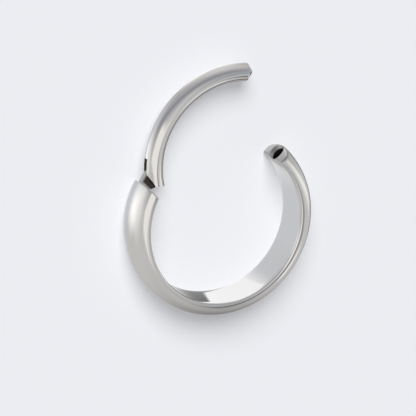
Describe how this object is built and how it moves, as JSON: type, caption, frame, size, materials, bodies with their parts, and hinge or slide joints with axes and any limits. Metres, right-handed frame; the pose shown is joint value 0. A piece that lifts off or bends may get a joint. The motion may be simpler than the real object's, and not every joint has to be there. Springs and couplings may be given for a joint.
{
  "type": "hinged hoop earring",
  "caption": "Small hinged hoop earring: a domed polished band closed by a round wire gate, shown swung open and lying on its side.",
  "frame": {"origin": "on the hoop's axis, in the plane of the flat side that it lies on", "axes": "+Z along the hoop's axis, up from the side it lies on; +Y towards the ear, where the gate closes the hoop; +X from the hinged end of the band towards the seat end"},
  "size_m": [0.0144, 0.0189, 0.0033],
  "materials": {
    "polished_steel": "mirror polished steel"
  },
  "bodies": {
    "hoop": {"hoop_band": "polished_steel"},
    "gate": {"gate_wire": "polished_steel", "hinge_pin": "polished_steel"}
  },
  "joints": [
    {"name": "gate_hinge", "type": "hinge", "parent": "hoop", "child": "gate", "pos_m": [-0.00554, 0.00424, 0.00162], "axis": [0, 0, 1], "range_deg": [-39.1, 55]}
  ]
}
